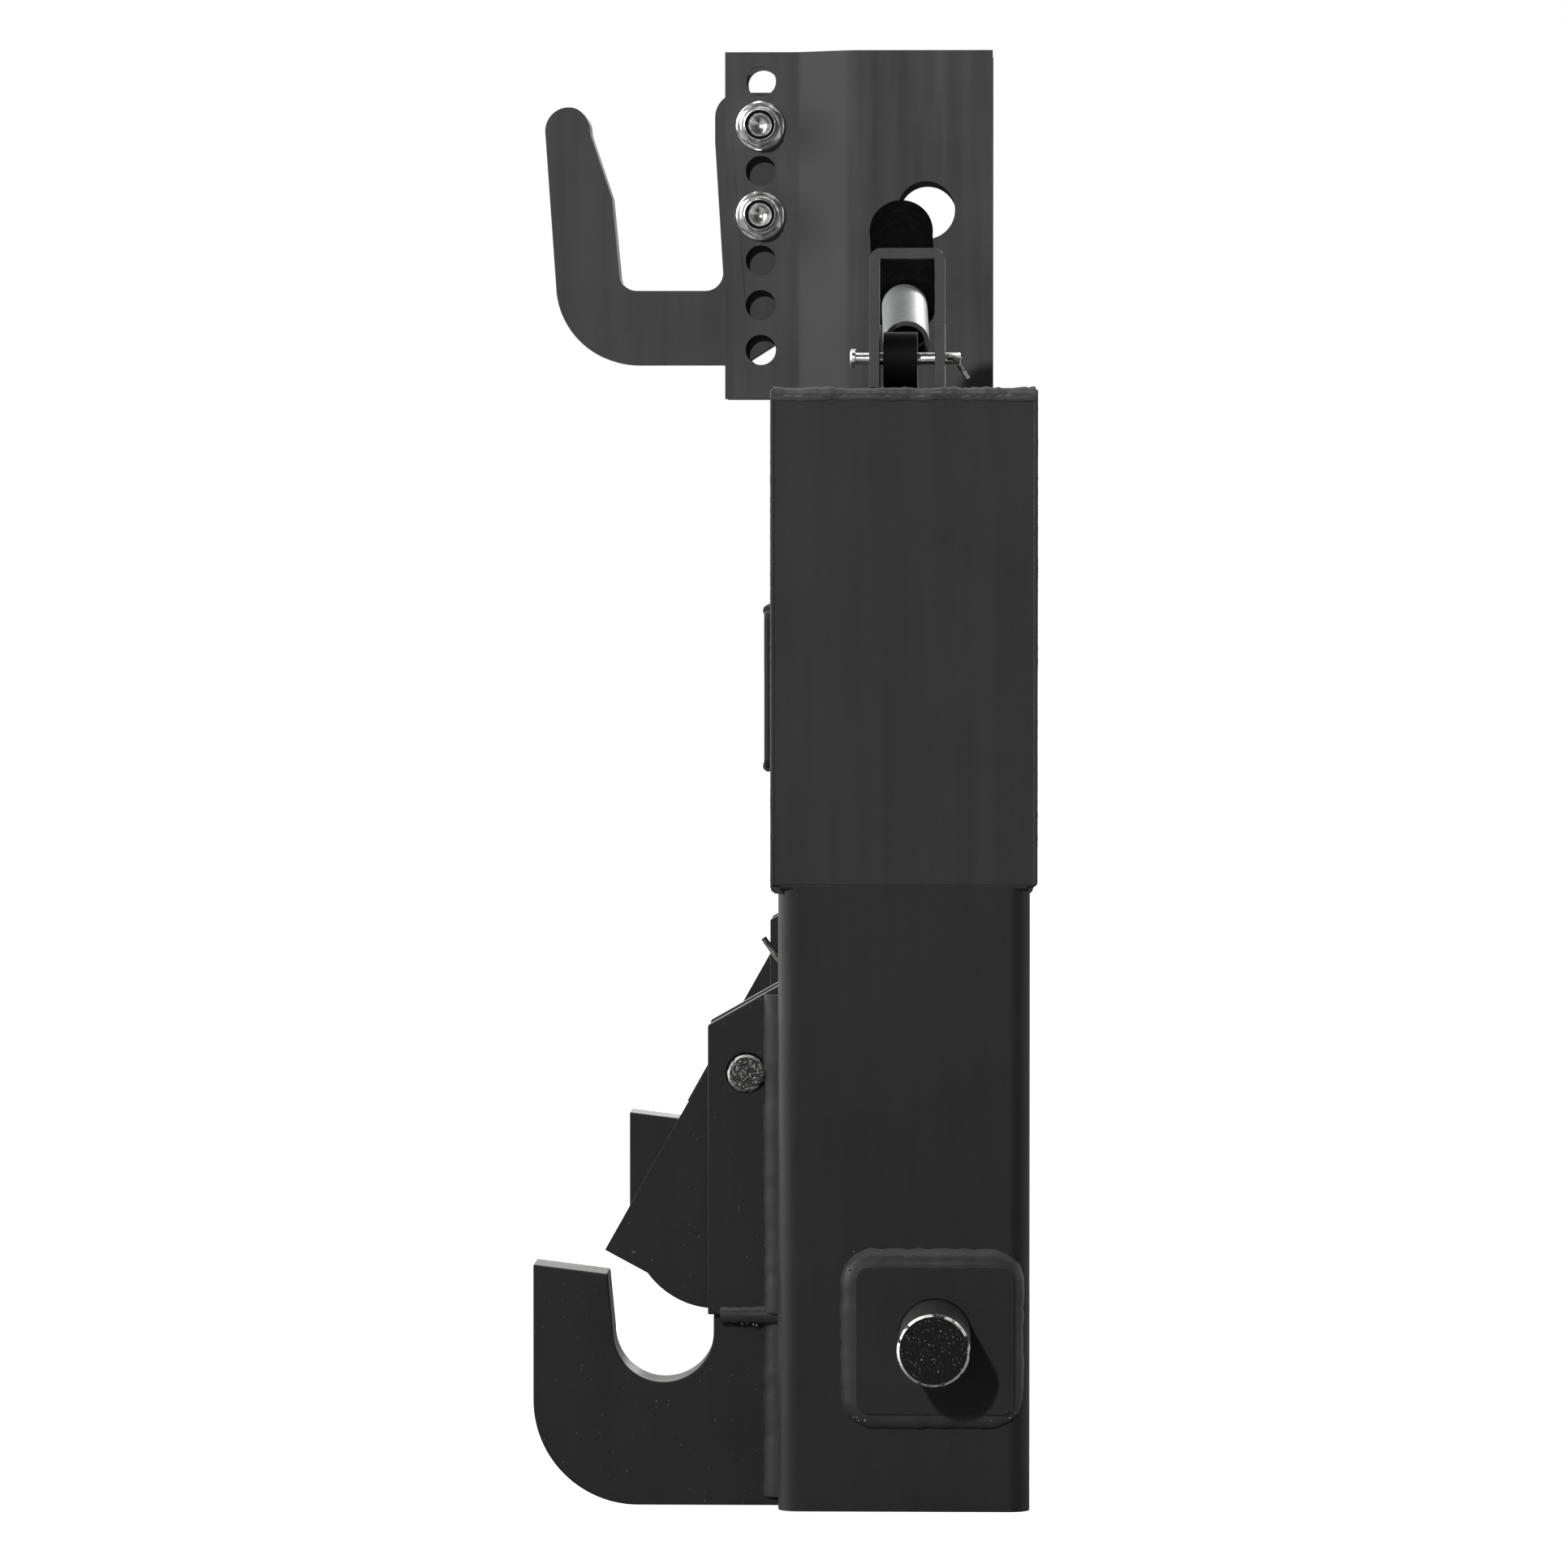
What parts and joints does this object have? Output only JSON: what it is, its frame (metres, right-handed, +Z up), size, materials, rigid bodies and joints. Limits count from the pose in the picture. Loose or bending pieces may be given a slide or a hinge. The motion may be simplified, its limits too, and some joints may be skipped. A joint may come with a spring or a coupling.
{
  "type": "three point quick hitch",
  "caption": "Inverted U tractor quick hitch with lower hooks, adjustable top hook and spring-closed latches released by hand levers.",
  "frame": {"origin": "centre of the footprint box, on the plane under the lower hooks", "axes": "+X towards the tractor, +Y along the crossbeam to the tractor's left, +Z up; the hooks open upwards on the -X side"},
  "size_m": [0.2206, 1.0616, 0.6032],
  "materials": {
    "frame_paint": "dark charcoal satin paint",
    "tower_paint": "charcoal satin paint",
    "hook_paint": "black satin paint over flame-cut plate",
    "black_steel": "black paint",
    "raw_steel": "dark bare steel",
    "zinc": "bright zinc plate",
    "spring_steel": "oiled spring steel",
    "rubber": "black textured rubber"
  },
  "bodies": {
    "frame": {"crossbeam": "frame_paint", "right_beam_end_cap": "frame_paint", "left_beam_end_cap": "frame_paint", "right_beam_pad": "frame_paint", "left_beam_pad": "frame_paint", "right_spring_seat": "raw_steel", "left_spring_seat": "raw_steel", "right_leg": "frame_paint", "left_leg": "frame_paint", "right_lower_hook": "hook_paint", "left_lower_hook": "hook_paint", "right_outer_latch_cheek": "hook_paint", "right_inner_latch_cheek": "hook_paint", "left_outer_latch_cheek": "hook_paint", "left_inner_latch_cheek": "hook_paint", "right_latch_pivot_pin": "raw_steel", "left_latch_pivot_pin": "raw_steel", "right_latch_hairpin": "zinc", "left_latch_hairpin": "zinc", "right_lift_pin_plate": "frame_paint", "left_lift_pin_plate": "frame_paint", "right_lift_pin": "raw_steel", "left_lift_pin": "raw_steel", "right_tower_plate": "tower_paint", "left_tower_plate": "tower_paint", "top_hook": "hook_paint", "lower_hook_bolt": "zinc", "upper_hook_bolt": "zinc", "lower_hook_nut": "zinc", "upper_hook_nut": "zinc", "right_lower_bolt_washer": "zinc", "left_lower_bolt_washer": "zinc", "right_upper_bolt_washer": "zinc", "left_upper_bolt_washer": "zinc", "right_lever_bracket": "black_steel", "left_lever_bracket": "black_steel", "right_lever_pivot_pin": "zinc", "left_lever_pivot_pin": "zinc", "right_lever_cotter": "zinc", "left_lever_cotter": "zinc", "right_return_spring": "spring_steel", "left_return_spring": "spring_steel"},
    "right_lever": {"right_lever_knuckle": "black_steel", "right_crank_pin": "zinc", "right_lever_tube": "zinc", "right_lever_grip": "rubber"},
    "left_lever": {"left_lever_knuckle": "black_steel", "left_crank_pin": "zinc", "left_lever_tube": "zinc", "left_lever_grip": "rubber"},
    "right_rod": {"right_pull_rod": "raw_steel", "right_latch_rod_pin": "zinc", "right_spring_collar": "raw_steel"},
    "left_rod": {"left_pull_rod": "raw_steel", "left_latch_rod_pin": "zinc", "left_spring_collar": "raw_steel"},
    "right_latch": {"right_latch": "hook_paint"},
    "left_latch": {"left_latch": "hook_paint"}
  },
  "joints": [
    {"name": "right_lever_hinge", "type": "hinge", "parent": "frame", "child": "right_lever", "pos_m": [0.0573, -0.4421, 0.4597], "axis": [1, 0, 0], "range_deg": [0, 60], "stiffness_Nm_per_rad": 1.4, "springref_deg": -37.24},
    {"name": "left_lever_hinge", "type": "hinge", "parent": "frame", "child": "left_lever", "pos_m": [0.0573, 0.4421, 0.4597], "axis": [-1, 0, 0], "range_deg": [0, 60], "stiffness_Nm_per_rad": 1.4, "springref_deg": -37.24},
    {"name": "right_rod_slide", "type": "slide", "parent": "frame", "child": "right_rod", "axis": [0, 0, 1], "range_m": [0, 0.03173], "deforming": ["right_return_spring"]},
    {"name": "left_rod_slide", "type": "slide", "parent": "frame", "child": "left_rod", "axis": [0, 0, 1], "range_m": [0, 0.03173], "deforming": ["left_return_spring"]},
    {"name": "right_latch_hinge", "type": "hinge", "parent": "frame", "child": "right_latch", "pos_m": [-0.0061, -0.4125, 0.1743], "axis": [0, -1, 0], "range_deg": [0, 29.3]},
    {"name": "left_latch_hinge", "type": "hinge", "parent": "frame", "child": "left_latch", "pos_m": [-0.0061, 0.4125, 0.1743], "axis": [0, -1, 0], "range_deg": [0, 29.3]}
  ],
  "couplings": [
    {"joint": "right_rod_slide", "follows": "right_lever_hinge", "m_per_rad": 0.030295},
    {"joint": "left_rod_slide", "follows": "left_lever_hinge", "m_per_rad": 0.030295},
    {"joint": "right_latch_hinge", "follows": "right_lever_hinge", "ratio": 0.48833},
    {"joint": "left_latch_hinge", "follows": "left_lever_hinge", "ratio": 0.48833}
  ]
}
